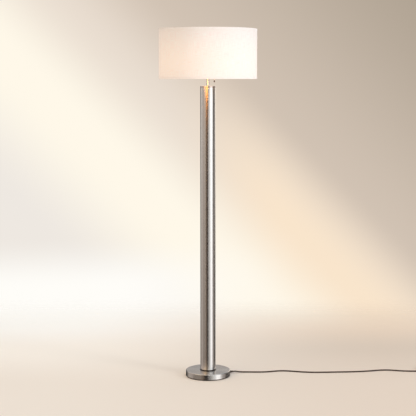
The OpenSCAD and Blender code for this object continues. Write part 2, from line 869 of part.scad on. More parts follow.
module finial_stud() {
    rivet_z = harp_top_z - harp_wire / 2 - boss_lip;
    color("lightgray") {
        round_bar(rivet_head_d / 2, rivet_z - rivet_head_t, rivet_z);
        round_bar(rivet_d / 2, rivet_z - rivet_head_t, hub_z);
        round_bar(shoulder_d / 2, boss_top_z, hub_z);
        round_bar(stud_d / 2, boss_top_z, hub_z + stud_len);
    }
}

module finial() {
    foot_t = 2.5;
    cone_h = 4;
    waist_r = 4.5;
    foot_edge = 1;
    bore_end = 0.5;
    ball_z = finial_z + finial_h - finial_ball_d / 2;
    color("silver")
        difference() {
            union() {
                round_bar(finial_foot_d / 2, finial_z, finial_z + foot_t);
                translate([0, 0, finial_z + foot_t])
                    cylinder(r1 = finial_foot_d / 2 - foot_edge, r2 = waist_r, h = cone_h);
                round_bar(waist_r, finial_z, ball_z);
                translate([0, 0, ball_z]) sphere(d = finial_ball_d);
            }
            round_bar(stud_d / 2 + fit_gap, finial_z - over, hub_z + stud_len + bore_end);
        }
}

// Shade

// Centre line of one arm: level from the hub, round a bend and up to the shade's top ring
arm_line = concat(
    [[hub_hole / 2 + arm_root, 0, 0]],
    arc_points([arm_level_end, arm_bend_r], arm_bend_r, -90, arm_lean - 90, bend_steps),
    [[ring_r, 0, arm_rise]]
);

// Places its children at each of the spider's arms
module at_arms() {
    for (i = [0:arm_count - 1]) rotate([0, 0, arm_start + i * 360 / arm_count]) children();
}

// Wire ring at the top or the bottom of the shade
module wire_ring(z) {
    translate([0, 0, z]) rotate_extrude() translate([ring_r, 0]) circle(d = ring_wire, $fn = 48);
}

module spider() {
    color("gainsboro") {
        round_ring(hub_d / 2, hub_hole / 2, hub_z, hub_z + hub_t);
        translate([0, 0, arm_z]) at_arms() tube(arm_line, arm_wire, wire_sides, [0, 1, 0]);
        wire_ring(top_ring_z);
    }
}

module bottom_ring() {
    color("gainsboro") wire_ring(bottom_ring_z);
}

module shade_fabric() {
    color("linen") round_ring(fabric_r, fabric_in_r, shade_z + trim_t, shade_top_z - trim_t);
}

// Half section of the trim: a tape folded over the shade's edge and its wire ring
module trim_section() {
    square([trim_t, trim_h]);
    translate([hem_r - trim_t - fabric_r, 0]) square([shade_r - hem_r + trim_t, trim_t]);
    translate([hem_r - trim_t - fabric_r, 0]) square([trim_t, hem_h]);
}

module top_trim() {
    color("floralwhite")
        difference() {
            translate([0, 0, shade_top_z]) mirror([0, 0, 1])
                rotate_extrude() translate([fabric_r, 0]) trim_section();
            at_arms() translate([hem_r - 2 * trim_t - 1, -hem_notch_w / 2, shade_top_z - hem_h - over])
                cube([trim_t * 2 + 1.5, hem_notch_w, hem_h - trim_t + over]);
        }
}

module bottom_trim() {
    color("floralwhite")
        translate([0, 0, shade_z]) rotate_extrude() translate([fabric_r, 0]) trim_section();
}

// Lead and plug

module cord_bushing() {
    neck_r = flange_d / 2 - flange_step;
    taper = (neck_r - relief_tip_d / 2) / (relief_len - flange_t);
    color("saddlebrown")
        at_exit()
            rotate_extrude()
                difference() {
                    union() {
                        translate([0, base_r - barrel_len]) square([barrel_d / 2, barrel_len + 0.1]);
                        translate([0, base_r]) square([flange_d / 2, flange_t]);
                        polygon([
                            [0, base_r + flange_t], [neck_r, base_r + flange_t],
                            [relief_tip_d / 2, relief_tip_r], [0, relief_tip_r],
                        ]);
                    }
                    for (i = [1:relief_grooves])
                        let (x = flange_t + i * (relief_len - flange_t) / (relief_grooves + 1))
                            translate([neck_r - taper * (x - flange_t) - groove_depth, base_r + x - groove_w / 2])
                                square([flange_d, groove_w]);
                }
}

module supply_cord() {
    lead_in = [for (i = [2:-1:0]) coil_start - [cord_d + i * cord_straight, 0, 0]];
    color("saddlebrown") tube(smooth_route(concat(cord_points, lead_in), cord_steps), cord_d, cord_sides);
}

module cord_coil() {
    color("saddlebrown") tube(coil_line(coil_ring_step), cord_d, coil_sides);
}

module cord_tie() {
    in_r = coil_in_r - coil_pitch / 8 - cord_d / 2 - tie_clear;
    out_r = coil_out_r + cord_d / 2 + tie_clear;
    low_z = coil_start[2] - cord_d / 2 - tie_clear / 2;
    high_z = coil_start[2] + coil_step + cord_d / 2 + tie_clear;
    color("dimgray")
        translate([coil_centre[0], coil_centre[1], 0])
            rotate([0, 0, tie_angle])
                difference() {
                    translate([in_r - tie_t, -tie_w / 2, low_z - tie_t])
                        cube([out_r - in_r + 2 * tie_t, tie_w, high_z - low_z + 2 * tie_t]);
                    translate([in_r, -tie_w, low_z]) cube([out_r - in_r, 2 * tie_w, high_z - low_z]);
                }
}

// Frame along the plug: X runs from its neck to its blades, and Y across both blades
module at_plug() {
    translate(plug_start) rotate([0, 0, 90]) children();
}

module plug_body() {
    grip_w = 1.6;
    grip_start = 6;
    grip_len = 10;
    color("saddlebrown")
        at_plug()
            difference() {
                union() {
                    rotate([0, 90, 0]) cylinder(d1 = relief_tip_d, d2 = plug_neck_d, h = plug_neck_len + 1);
                    hull()
                        for (x = [plug_corner_r, plug_len - plug_corner_r], side = [-1, 1])
                            for (up = [-1, 1])
                                translate([
                                    plug_neck_len + x,
                                    side * (plug_w / 2 - plug_corner_r),
                                    up * (plug_t / 2 - plug_corner_r),
                                ])
                                    sphere(r = plug_corner_r, $fn = 32);
                }
                translate([plug_face_x, -plug_w, -plug_t]) cube([plug_corner_r, 2 * plug_w, 2 * plug_t]);
                for (x = [grip_start:2 * grip_w:grip_start + grip_len], side = [-1, 1])
                    translate([plug_neck_len + x, side * plug_w / 2 - grip_w / 2, -plug_t / 4])
                        cube([grip_w, grip_w, plug_t / 2]);
            }
}

module plug_blades() {
    hole_d = 3.2;
    hole_inset = 5;
    color("silver")
        at_plug()
            for (side = [-1, 1])
                translate([plug_face_x, side * blade_gap / 2 - blade_t / 2, -blade_w / 2])
                    difference() {
                        cube([blade_len, blade_t, blade_w]);
                        translate([blade_len - hole_inset, -over, blade_w / 2]) rotate([-90, 0, 0])
                            cylinder(d = hole_d, h = blade_t + 2 * over, $fn = 48);
                    }
}

felt_pad();
base_weight();
base_cover();
rod_washer();
rod_nut();
column_seat();
column_tube();
column_cap();
threaded_rod();
inner_lead();
neck_tube();
harp_saddle();
saddle_nut();
socket_cap();
socket_shell();
socket_liner();
switch_body();
terminal_screws();
screw_shell();
centre_contact();
chain_guide();
pull_chain();
chain_ball();
bulb_base();
bulb_glass();
harp();
harp_sleeves();
finial_stud();
finial();
spider();
bottom_ring();
shade_fabric();
top_trim();
bottom_trim();
cord_bushing();
supply_cord();
cord_coil();
cord_tie();
plug_body();
plug_blades();
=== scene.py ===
import json
from math import cos, pi, prod, radians, sin

import bmesh
import bpy
from mathutils import Matrix, Vector


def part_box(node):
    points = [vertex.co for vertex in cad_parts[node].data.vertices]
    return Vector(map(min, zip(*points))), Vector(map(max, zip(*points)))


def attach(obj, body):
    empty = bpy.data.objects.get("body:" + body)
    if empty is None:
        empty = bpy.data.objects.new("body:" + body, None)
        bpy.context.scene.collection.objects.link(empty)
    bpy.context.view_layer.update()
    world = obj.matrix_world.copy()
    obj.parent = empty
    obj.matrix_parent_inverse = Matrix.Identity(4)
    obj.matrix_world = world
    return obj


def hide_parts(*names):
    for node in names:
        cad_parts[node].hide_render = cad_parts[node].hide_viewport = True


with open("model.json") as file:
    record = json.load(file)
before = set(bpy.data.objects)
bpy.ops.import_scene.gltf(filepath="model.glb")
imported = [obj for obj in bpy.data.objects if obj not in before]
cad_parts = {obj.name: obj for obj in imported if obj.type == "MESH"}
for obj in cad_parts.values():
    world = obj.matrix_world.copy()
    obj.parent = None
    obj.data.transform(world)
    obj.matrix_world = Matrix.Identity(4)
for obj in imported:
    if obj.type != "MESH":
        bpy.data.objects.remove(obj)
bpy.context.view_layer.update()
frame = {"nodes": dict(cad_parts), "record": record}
solids = frame["nodes"]
mm = 0.001
print("frame loaded:", len(solids), "solids")


# Camera, set so that the rims of the shade and the base fall as in the photograph
viewpoint = {"lens": 99.15, "sensor": 36, "place": (0, -5.3687, 1.4118), "pitch": 6.426}

cameraData = bpy.data.cameras.new("studioCamera")
cameraData.lens = viewpoint["lens"]
cameraData.sensor_width = viewpoint["sensor"]
camera = bpy.data.objects.new("studioCamera", cameraData)
camera.location = viewpoint["place"]
camera.rotation_euler = (radians(90 - viewpoint["pitch"]), 0, 0)
bpy.context.scene.collection.objects.link(camera)
bpy.context.scene.camera = camera
print("camera placed")


# Supply lead: from the strain relief over the floor, then wound in a coil that ends at the plug
lead = {
    "thickness": 0.0065,
    "roundness": 3,
    "reliefTip": 0.1275,  # from the lamp's axis
    "exitTurn": 18,  # degrees from the right towards the back
    "exitHeight": 0.009,
    "straight": 0.006,  # between the points of its straight start, and of its end before the coil
    "straightPoints": 3,
    "floorPoints": [
        (0.147, 0.0468, 0.0062), (0.168, 0.0505, 0.0039), (0.192, 0.052, 0.0033), (0.224, 0.051, 0.0033),
        (0.258, 0.051, 0.0033), (0.290, 0.056, 0.0033), (0.322, 0.066, 0.0033), (0.354, 0.073, 0.0033),
        (0.388, 0.071, 0.0033), (0.424, 0.061, 0.0033), (0.462, 0.051, 0.0033), (0.510, 0.045, 0.0033),
        (0.560, 0.046, 0.0033), (0.620, 0.050, 0.0033), (0.680, 0.054, 0.0033), (0.736, 0.061, 0.0033),
        (0.784, 0.071, 0.0033), (0.828, 0.084, 0.0033), (0.868, 0.089, 0.0033), (0.902, 0.083, 0.0033),
        (0.936, 0.073, 0.0033), (0.972, 0.068, 0.0033), (1.012, 0.067, 0.0033), (1.048, 0.067, 0.0039),
    ],
    "stepsBetween": 6,
    "coilStart": (1.076, 0.067, 0.0044),
    "innerRadius": 0.026,
    "turns": 2.875,  # in each of the coil's two layers
    "pitch": 0.0072,
    "layerStep": 0.0072,
    "climb": 180,  # degrees in which it rises to the upper layer
    "coilDegrees": 6,
    "tail": 0.040,
    "tailSteps": 8,
    "plugHeight": 0.0078,
}
layerTurn = 360 * lead["turns"]
coilOuter = lead["innerRadius"] + lead["pitch"] * lead["turns"]
coilCentre = Vector(lead["coilStart"]) + Vector((0, coilOuter, 0))


def ease(share):
    share = min(max(share, 0), 1)
    return share * share * (3 - 2 * share)


def smoothRoute(points, steps):  # the same curve as the solid's, through every point
    ends = [2 * points[0] - points[1], *points, 2 * points[-1] - points[-2]]
    route = []
    for a, b, c, d in zip(ends, ends[1:], ends[2:], ends[3:]):
        for step in range(steps):
            t = step / steps
            route.append(0.5 * (2 * b + (c - a) * t + (2 * a - 5 * b + 4 * c - d) * t * t
                                + (3 * b - a - 3 * c + d) * t ** 3))
    return route + [points[-1]]


def coilRadius(turned):  # inwards in the lower layer, a dip where it climbs, outwards in the upper layer
    perDegree = lead["pitch"] / 360
    if turned < layerTurn:
        return coilOuter - perDegree * turned
    past = turned - layerTurn
    if past < lead["climb"]:
        return lead["innerRadius"] - perDegree * (past - past * past / lead["climb"])
    return lead["innerRadius"] + perDegree * (past - lead["climb"])


def leadRoute():
    turn = radians(lead["exitTurn"])
    outward = Vector((cos(turn), sin(turn), 0))
    tip = outward * lead["reliefTip"] + Vector((0, 0, lead["exitHeight"]))
    points = [tip + outward * lead["straight"] * i for i in range(lead["straightPoints"])]
    points += [Vector(point) for point in lead["floorPoints"]]
    points += [Vector(lead["coilStart"]) - Vector((lead["thickness"] + lead["straight"] * i, 0, 0))
               for i in reversed(range(lead["straightPoints"]))]
    route = smoothRoute(points, lead["stepsBetween"])
    for i in range(int((2 * layerTurn + lead["climb"]) / lead["coilDegrees"]) + 1):
        turned = lead["coilDegrees"] * i
        r, a = coilRadius(turned), radians(turned)
        rise = lead["layerStep"] * ease((turned - layerTurn) / lead["climb"])
        route.append(coilCentre + Vector((r * sin(a), -r * cos(a), rise)))
    last = route[-1].copy()
    drop = lead["plugHeight"] - last.z
    for i in range(1, lead["tailSteps"] + 1):
        share = i / lead["tailSteps"]
        route.append(last + Vector((0, lead["tail"] * share, drop * ease(share))))
    route.append(last + Vector((0, lead["tail"] + lead["thickness"], drop)))
    return route


def linkPiece(name, data, body):
    piece = bpy.data.objects.new(name, data)
    bpy.context.scene.collection.objects.link(piece)
    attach(piece, body)
    return piece


leadPoints = leadRoute()
leadLength = sum((b - a).length for a, b in zip(leadPoints, leadPoints[1:]))
leadCurve = bpy.data.curves.new("supplyLead", "CURVE")
leadCurve.dimensions = "3D"
leadCurve.bevel_depth = 1  # the points' own radius gives the thickness
leadCurve.bevel_resolution = lead["roundness"]
leadCurve.use_fill_caps = True
leadLine = leadCurve.splines.new("POLY")
leadLine.points.add(len(leadPoints) - 1)
for point, place in zip(leadLine.points, leadPoints):
    point.co = (*place, 1)
    point.radius = lead["thickness"] / 2
leadLine.use_smooth = True
supplyLead = linkPiece("supplyLead", leadCurve, "stand")
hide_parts("supply_cord", "cord_coil")
print("lead laid out, metres:", round(leadLength, 3))


# Strap round the coil: a flat tape with round edges that goes once through the coil's middle
strap = {"width": 9 * mm, "thickness": 0.8 * mm, "clearance": 0.4 * mm, "clearanceBelow": 0.2 * mm,
         "turn": 135, "corner": 3.0 * mm, "cornerSteps": 6}


def meshFrom(bm, name):
    mesh = bpy.data.meshes.new(name)
    bm.to_mesh(mesh)
    bm.free()
    return mesh


def thicken(bm, thickness):
    bmesh.ops.recalc_face_normals(bm, faces=bm.faces)
    bmesh.ops.solidify(bm, geom=list(bm.faces), thickness=thickness)
    bmesh.ops.recalc_face_normals(bm, faces=bm.faces)


def leadStrap():
    half = lead["thickness"] / 2
    floorSide = lead["coilStart"][2] - half - strap["clearanceBelow"]
    upperSide = lead["coilStart"][2] + lead["layerStep"] + half + strap["clearance"]
    inside = coilRadius(layerTurn + lead["climb"] / 2) - half - strap["clearance"]
    outside = coilOuter + half + strap["clearance"]
    corners = ((inside, floorSide), (outside, floorSide), (outside, upperSide), (inside, upperSide))
    bm = bmesh.new()
    verts = [bm.verts.new((x, -strap["width"] / 2, z)) for x, z in corners]
    for a, b in zip(verts, verts[1:] + verts[:1]):
        bm.edges.new((a, b))
    bmesh.ops.bevel(bm, geom=verts, offset=strap["corner"], offset_type="OFFSET", affect="VERTICES",
                    segments=strap["cornerSteps"], profile=0.5, material=-1)
    grown = bmesh.ops.extrude_edge_only(bm, edges=list(bm.edges))["geom"]
    side = [e for e in grown if isinstance(e, bmesh.types.BMVert)]
    bmesh.ops.translate(bm, verts=side, vec=(0, strap["width"], 0))
    thicken(bm, -strap["thickness"])
    bmesh.ops.rotate(bm, verts=bm.verts, cent=(0, 0, 0),
                     matrix=Matrix.Rotation(radians(strap["turn"]), 3, "Z"))
    bmesh.ops.translate(bm, verts=bm.verts, vec=(coilCentre.x, coilCentre.y, 0))
    return meshFrom(bm, "leadStrap")


leadTie = linkPiece("leadTie", leadStrap(), "stand")
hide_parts("cord_tie")
print("strap round the coil made")


# Overlap of the shade's fabric at the back, glued down as a flat strip between the two tapes
overlap = {"radius": 227.8 * mm, "width": 14 * mm, "thickness": 0.45 * mm, "turn": 90, "steps": 6,
           "cuts": 7, "tape": 11.2 * mm}


def fabricOverlap():
    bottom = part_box("bottom_trim")[0].z + overlap["tape"]
    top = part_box("top_trim")[1].z - overlap["tape"]
    angle = overlap["width"] / overlap["radius"]
    bm = bmesh.new()
    line = bm.edges.new([bm.verts.new((overlap["radius"], 0, z)) for z in (bottom, top)])
    bmesh.ops.subdivide_edges(bm, edges=[line], cuts=overlap["cuts"])
    bmesh.ops.rotate(bm, verts=bm.verts, cent=(0, 0, 0),
                     matrix=Matrix.Rotation(radians(overlap["turn"]) - angle / 2, 3, "Z"))
    bmesh.ops.spin(bm, geom=list(bm.verts) + list(bm.edges), cent=(0, 0, 0), axis=(0, 0, 1), angle=angle,
                   steps=overlap["steps"], use_duplicate=False)
    thicken(bm, overlap["thickness"])
    return meshFrom(bm, "fabricOverlap")


# Welds of the shade's wire frame: short beads where the arms meet the hub and the top ring
welds = {"arms": 3, "firstArm": 90, "wire": 3.2 * mm, "sunk": 0.3 * mm, "hubRadius": 13.2 * mm,
         "hubDepth": 1.5 * mm, "bead": 1.5 * mm, "beadForm": (1.0, 0.8, 0.85), "beadRoundness": 2,
         "beads": 3, "spacing": 1.3 * mm}


def frameWelds():
    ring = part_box("bottom_ring")[1].x - welds["wire"]
    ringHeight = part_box("spider")[1].z - welds["wire"] / 2 - welds["sunk"]
    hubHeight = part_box("finial")[0].z - welds["hubDepth"]
    form = Matrix.Diagonal((*welds["beadForm"], 1))
    bm = bmesh.new()
    for arm in range(welds["arms"]):
        turn = Matrix.Rotation(radians(welds["firstArm"] + arm * 360 / welds["arms"]), 4, "Z")
        for radius, height in ((ring, ringHeight), (welds["hubRadius"], hubHeight)):
            for bead in range(welds["beads"]):
                aside = (bead - (welds["beads"] - 1) / 2) * welds["spacing"]
                place = turn @ Matrix.Translation((radius, aside, height)) @ form
                bmesh.ops.create_icosphere(bm, subdivisions=welds["beadRoundness"], radius=welds["bead"],
                                           matrix=place)
    mesh = meshFrom(bm, "frameWelds")
    for face in mesh.polygons:
        face.use_smooth = True
    return mesh


seamStrip = linkPiece("fabricOverlap", fabricOverlap(), "shade")
weldBeads = linkPiece("frameWelds", frameWelds(), "shade")
print("shade's seam and welds made")


# Shader nodes
class Tap:  # a socket of a shader tree that takes part in sums
    def __init__(self, tree, socket=None):
        self.tree = tree
        self.socket = socket

    def node(self, kind, settings=None, links=None, out=0):  # any node, its settings and then its sockets
        made = self.tree.nodes.new("ShaderNode" + kind)
        for name, value in (settings or {}).items():
            if name == "stops":
                ramp = made.color_ramp
                while len(ramp.elements) < len(value):
                    ramp.elements.new(1)
                for element, (position, colour) in zip(ramp.elements, value):
                    element.position = position
                    element.color = (*colour, 1)
            else:
                setattr(made, name, value)
        for name, value in (links or {}).items():
            if isinstance(value, Tap):
                self.tree.links.new(value.socket, made.inputs[name])
            else:
                made.inputs[name].default_value = value
        return Tap(self.tree, made.outputs[out] if made.outputs else None)

    def other(self, name):  # another output of the same node
        return Tap(self.tree, self.socket.node.outputs[name])

    def sum(self, operation, *values):
        return self.node("Math", {"operation": operation}, dict(enumerate(values)))

    def __add__(self, value):
        return self.sum("ADD", self, value)

    def __radd__(self, value):
        return self.sum("ADD", value, self)

    def __sub__(self, value):
        return self.sum("SUBTRACT", self, value)

    def __rsub__(self, value):
        return self.sum("SUBTRACT", value, self)

    def __mul__(self, value):
        return self.sum("MULTIPLY", self, value)

    def __rmul__(self, value):
        return self.sum("MULTIPLY", value, self)

    def __pow__(self, value):
        return self.sum("POWER", self, value)


def asSeen(rgb):  # a colour as it is seen on a screen, 0 to 255, in the renderer's own values
    return tuple((c / 255 / 12.92) if c <= 10 else ((c / 255 + 0.055) / 1.055) ** 2.4 for c in rgb)


def mixColours(factor, a, b):  # a where the factor is 0 and b where it is 1; either may be a plain colour
    a, b = (value if isinstance(value, Tap) else (*value, 1) for value in (a, b))
    return factor.node("Mix", {"data_type": "RGBA"}, {0: factor, 6: a, 7: b}, out=2)


def newMaterial(name):
    material = bpy.data.materials.new(name)
    material.use_nodes = True
    material.node_tree.nodes.clear()
    return material, Tap(material.node_tree)


def closeTree(surface, output="OutputMaterial"):
    surface.node(output, None, {"Surface": surface})


def objectPlace(tree):
    return tree.node("TexCoord", out="Object")


def axesOf(place):
    parts = place.node("SeparateXYZ", None, {0: place})
    return [parts.other(name) for name in "XYZ"]


def noiseOn(vector, noise):
    return vector.node("TexNoise", None, {"Vector": vector, **noise})


def bumpFrom(height, distance):
    return height.node("Bump", None, {"Strength": 1.0, "Distance": distance, "Height": height})


def between(value, low, high):  # 0 at low, 1 at high, smooth between them
    return value.node("MapRange", {"interpolation_type": "SMOOTHSTEP"},
                      {"Value": value, "From Min": low, "From Max": high})


# Brushed and turned metals. The lines run round the lamp's axis, as from a lathe.
metals = {
    "nickel": {
        "light": (214, 207, 201), "dark": (200, 192, 185), "rough": 0.26, "spread": 0.04,
        "stretch": 0.88, "lines": 420, "depth": 0.004 * mm,
        # painted shade: dark lines painted into the nickel where contact shadow and dark reflections fall
        "paintedShadeLines": [  # thin lines at the column's foot, under its top plate and round the base's lower edge
            {"from": 28 * mm, "to": 34 * mm, "reach": 39 * mm, "shadeColour": (66, 54, 48)},
            {"from": 1373.5 * mm, "to": 1376 * mm, "reach": 37 * mm, "shadeColour": (150, 112, 96)},
            {"from": -1 * mm, "to": 5 * mm, "reach": 200 * mm, "shadeColour": (112, 96, 86)},
        ],
    },
    "zinc": {"light": (186, 186, 182), "dark": (140, 141, 138), "rough": 0.42, "spread": 0.14,
             "lines": 300, "depth": 0.02 * mm},
    "brass": {"light": (214, 178, 104), "dark": (168, 128, 66), "rough": 0.34, "spread": 0.12,
              "lines": 400, "depth": 0.02 * mm},
    "chain": {"light": (226, 221, 212), "dark": (186, 180, 170), "rough": 0.24, "spread": 0.12,
              "lines": 500, "depth": 0.02 * mm},
    "ball": {"light": (78, 60, 47), "dark": (44, 34, 27), "rough": 0.34, "spread": 0.12,
             "lines": 500, "depth": 0.02 * mm},
    "wire": {"light": (214, 210, 202), "dark": (178, 174, 166), "rough": 0.40, "spread": 0.10,
             "lines": 200, "depth": 0.02 * mm},
    "bulb_metal": {"light": (206, 206, 202), "dark": (160, 160, 156), "rough": 0.28, "spread": 0.10,
                   "lines": 600, "depth": 0.02 * mm},
    "blade": {"light": (214, 206, 190), "dark": (176, 166, 148), "rough": 0.26, "spread": 0.10,
              "lines": 500, "depth": 0.02 * mm},
}
brushing = {
    "fine": {"Scale": 1.0, "Detail": 4, "Roughness": 0.6},
    "cloud": {"Scale": 14.0, "Detail": 4, "Roughness": 0.55},
    "fineShare": 0.6, "breaks": 1.5, "shadeLineEdge": 0.5 * mm, "stretchTurn": 0.25,
}


def metal(name):
    spec = metals[name]
    material, tree = newMaterial(name)
    place = objectPlace(tree)
    x, y, z = axesOf(place)
    radius = (x * x + y * y) ** 0.5
    around = tree.sum("ARCTAN2", y, x)
    lines = tree.node("CombineXYZ", None, {0: (radius + z) * spec["lines"], 1: around * brushing["breaks"]})
    fine = noiseOn(lines, brushing["fine"])
    cloud = noiseOn(place, brushing["cloud"])
    tone = fine * brushing["fineShare"] + cloud * (1 - brushing["fineShare"])
    colour = mixColours(tone, asSeen(spec["dark"]), asSeen(spec["light"]))
    edge = brushing["shadeLineEdge"]
    # painted shade: the colour darkens in each thin band, standing in for contact shadow and dark
    # reflections
    for shadeLine in spec.get("paintedShadeLines", []):
        line = (between(z, shadeLine["from"] - edge, shadeLine["from"] + edge)
                * between(z, shadeLine["to"] + edge, shadeLine["to"] - edge)
                * between(radius, shadeLine["reach"] + edge, shadeLine["reach"]))
        colour = mixColours(line, colour, asSeen(shadeLine["shadeColour"]))
    rough = (fine - 0.5) * spec["spread"] + (cloud - 0.5) * spec["spread"] + spec["rough"]
    closeTree(tree.node("BsdfPrincipled", None, {
        "Base Color": colour, "Metallic": 1.0, "Roughness": rough, "Normal": bumpFrom(fine, spec["depth"]),
        "Anisotropic": spec.get("stretch", 0.0), "Anisotropic Rotation": brushing["stretchTurn"]}))
    return material


# Linen over a stiff lining, lit from inside, and the tape folded over its edges
linen = {
    "light": (248, 244, 243), "dark": (234, 228, 225), "middle": 0.4,
    "rough": 0.9, "sheen": 0.15, "specular": 0.25,
    "radius": 0.228, "thread": 1.05 * mm, "threadTone": 0.25, "threadHeight": 0.5,
    "slub": {"Scale": 1.0, "Detail": 2, "Roughness": 0.5}, "slubWidth": 0.9, "slubsUp": 24.0,
    "slubsRound": 7.0, "slubTone": 3.2, "slubHeight": 0.8, "depth": 0.25 * mm,
    "glow": (255, 205, 160), "glowStrength": 0.285, "glowHeight": 1.48, "glowReach": 0.17,
    "glowLevel": 0.9, "glowSlubs": 1.1,
}
trim = {**linen, "light": (252, 247, 244), "dark": (240, 232, 229), "thread": 0.8 * mm, "glowStrength": 0.19}


def weave(across, up):  # across and up count the threads
    warp = across.sum("SINE", across * 0.5 * (2 * pi))
    weft = up.sum("SINE", up * 0.5 * (2 * pi))
    return warp * weft * 0.5 + 0.5


def cloth(name, spec):
    material, tree = newMaterial(name)
    x, y, z = axesOf(objectPlace(tree))
    around = tree.sum("ARCTAN2", y, x)
    count = round(2 * pi * spec["radius"] / spec["thread"])
    across, up = around * (count / (2 * pi)), z * (1 / spec["thread"])
    threads = weave(across, up)
    slubPlaces = ((across * spec["slubWidth"], z * spec["slubsUp"]),
                  (around * spec["slubsRound"], up * spec["slubWidth"]))
    slubsUp, slubsAcross = (noiseOn(tree.node("CombineXYZ", None, {0: a, 1: b}), spec["slub"])
                            for a, b in slubPlaces)
    slubs = (slubsUp + slubsAcross) * 0.5
    tone = (slubs - 0.5) * spec["slubTone"] + threads * spec["threadTone"] + spec["middle"]
    height = threads * spec["threadHeight"] + slubs * spec["slubHeight"]
    # painted light: the bulb's light through the linen is painted as an emission, strongest about the glow
    # height and fading above and below
    offset = (z - spec["glowHeight"]) * (1 / spec["glowReach"])
    hot = tree.sum("EXPONENT", offset * offset * -1.0)
    glow = hot * ((slubs - 0.5) * spec["glowSlubs"] + spec["glowLevel"])
    closeTree(tree.node("BsdfPrincipled", None, {
        "Base Color": mixColours(tone, asSeen(spec["dark"]), asSeen(spec["light"])),
        "Roughness": spec["rough"], "Normal": bumpFrom(height, spec["depth"]),
        "Sheen Weight": spec["sheen"], "Specular IOR Level": spec["specular"],
        "Emission Color": mixColours(glow, (0, 0, 0), asSeen(spec["glow"])),
        "Emission Strength": spec["glowStrength"]}))
    return material


# Plain finishes: felt, iron, plastics
plain = {
    "felt": {"light": (66, 62, 60), "dark": (40, 38, 37), "rough": 1.0, "grain": 900,
             "depth": 0.3 * mm, "sheen": 0.5},
    "iron": {"light": (84, 84, 86), "dark": (54, 54, 56), "rough": 0.75, "grain": 260, "depth": 0.2 * mm},
    "core": {"light": (120, 84, 58), "dark": (96, 64, 44), "rough": 0.5, "grain": 300, "depth": 0.03 * mm},
    "phenolic": {"light": (62, 44, 34), "dark": (40, 28, 22), "rough": 0.42, "grain": 200,
                 "depth": 0.02 * mm},
    "liner": {"light": (206, 186, 150), "dark": (178, 154, 116), "rough": 0.85, "grain": 500,
              "depth": 0.05 * mm, "sheen": 0.1},
    "lead": {"light": (72, 47, 31), "dark": (50, 33, 23), "rough": 0.52, "grain": 420, "depth": 0.03 * mm},
    "tie": {"light": (58, 50, 44), "dark": (36, 31, 28), "rough": 0.85, "grain": 1200,
            "depth": 0.15 * mm, "sheen": 0.3},
}
plainGrain = {
    "grain": {"Detail": 4, "Roughness": 0.6},
    "cloud": {"Scale": 18.0, "Detail": 3, "Roughness": 0.5},
    "grainShare": 0.6, "spread": 0.15,
}


def plainFinish(name):
    spec = plain[name]
    material, tree = newMaterial(name)
    place = objectPlace(tree)
    grain = noiseOn(place, {"Scale": spec["grain"], **plainGrain["grain"]})
    cloud = noiseOn(place, plainGrain["cloud"])
    tone = grain * plainGrain["grainShare"] + cloud * (1 - plainGrain["grainShare"])
    closeTree(tree.node("BsdfPrincipled", None, {
        "Base Color": mixColours(tone, asSeen(spec["dark"]), asSeen(spec["light"])),
        "Roughness": (cloud - 0.5) * plainGrain["spread"] + spec["rough"],
        "Normal": bumpFrom(grain, spec["depth"]), "Sheen Weight": spec.get("sheen", 0.0)}))
    return material


# The bulb's glass, lit, a little whiter at its top than by its screw base
bulb = {"light": (252, 250, 246), "dark": (244, 240, 232), "rough": 0.32,
        "cloud": {"Scale": 40.0, "Detail": 3, "Roughness": 0.5},
        "glowBelow": (255, 214, 160), "glowAbove": (255, 236, 206), "glowStrength": 3.0}


def litBulb():
    material, tree = newMaterial("bulb_glass")
    place = objectPlace(tree)
    z = axesOf(place)[2]
    low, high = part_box("bulb_glass")
    height = (z - low.z) * (1 / (high.z - low.z))
    closeTree(tree.node("BsdfPrincipled", None, {
        "Base Color": mixColours(noiseOn(place, bulb["cloud"]), asSeen(bulb["dark"]), asSeen(bulb["light"])),
        "Roughness": bulb["rough"], "Emission Strength": bulb["glowStrength"],
        "Emission Color": mixColours(height, asSeen(bulb["glowBelow"]), asSeen(bulb["glowAbove"]))}))
    return material


finishes = {name: metal(name) for name in metals}
finishes.update({name: plainFinish(name) for name in plain})
finishes["linen"] = cloth("linen", linen)
finishes["trim"] = cloth("trim", trim)
finishes["bulb_glass"] = litBulb()

slotOf = {part["node"]: part["material_slot"] for part in frame["record"]["subparts"]}
for name, piece in solids.items():
    for holder in piece.material_slots:
        holder.material = finishes[slotOf[name]]
supplyLead.data.materials.append(finishes["lead"])
leadTie.data.materials.append(finishes["tie"])
seamStrip.data.materials.append(finishes["linen"])
weldBeads.data.materials.append(finishes["wire"])
print("finishes set:", len(finishes))


# Studio floor: it fades into the background behind the lamp, and keeps the lamp's shadow.
# Each pair of colours is its left and its right, and each pair of lengths where a change begins and ends.
# The floor's colours are painted light and shade: brighter far off and to the left, darker near and to the
# right.
floor = {
    "radius": 6.0, "segments": 96, "rough": 0.9,
    "backFade": (2.0, 0.85), "edgeFade": (5.8, 3.2),
    "toRight": (-0.9, 1.0),
    "near": ((241, 232, 222), (227, 214, 202)),
    "middle": ((252, 246, 238), (217, 204, 191)), "toMiddle": (-0.2, 0.6),
    "far": ((255, 254, 251), (232, 215, 198)), "toFar": (0.5, 1.12),
    "beyond": (228, 218, 208), "toBeyond": (1.25, 2.1),
}


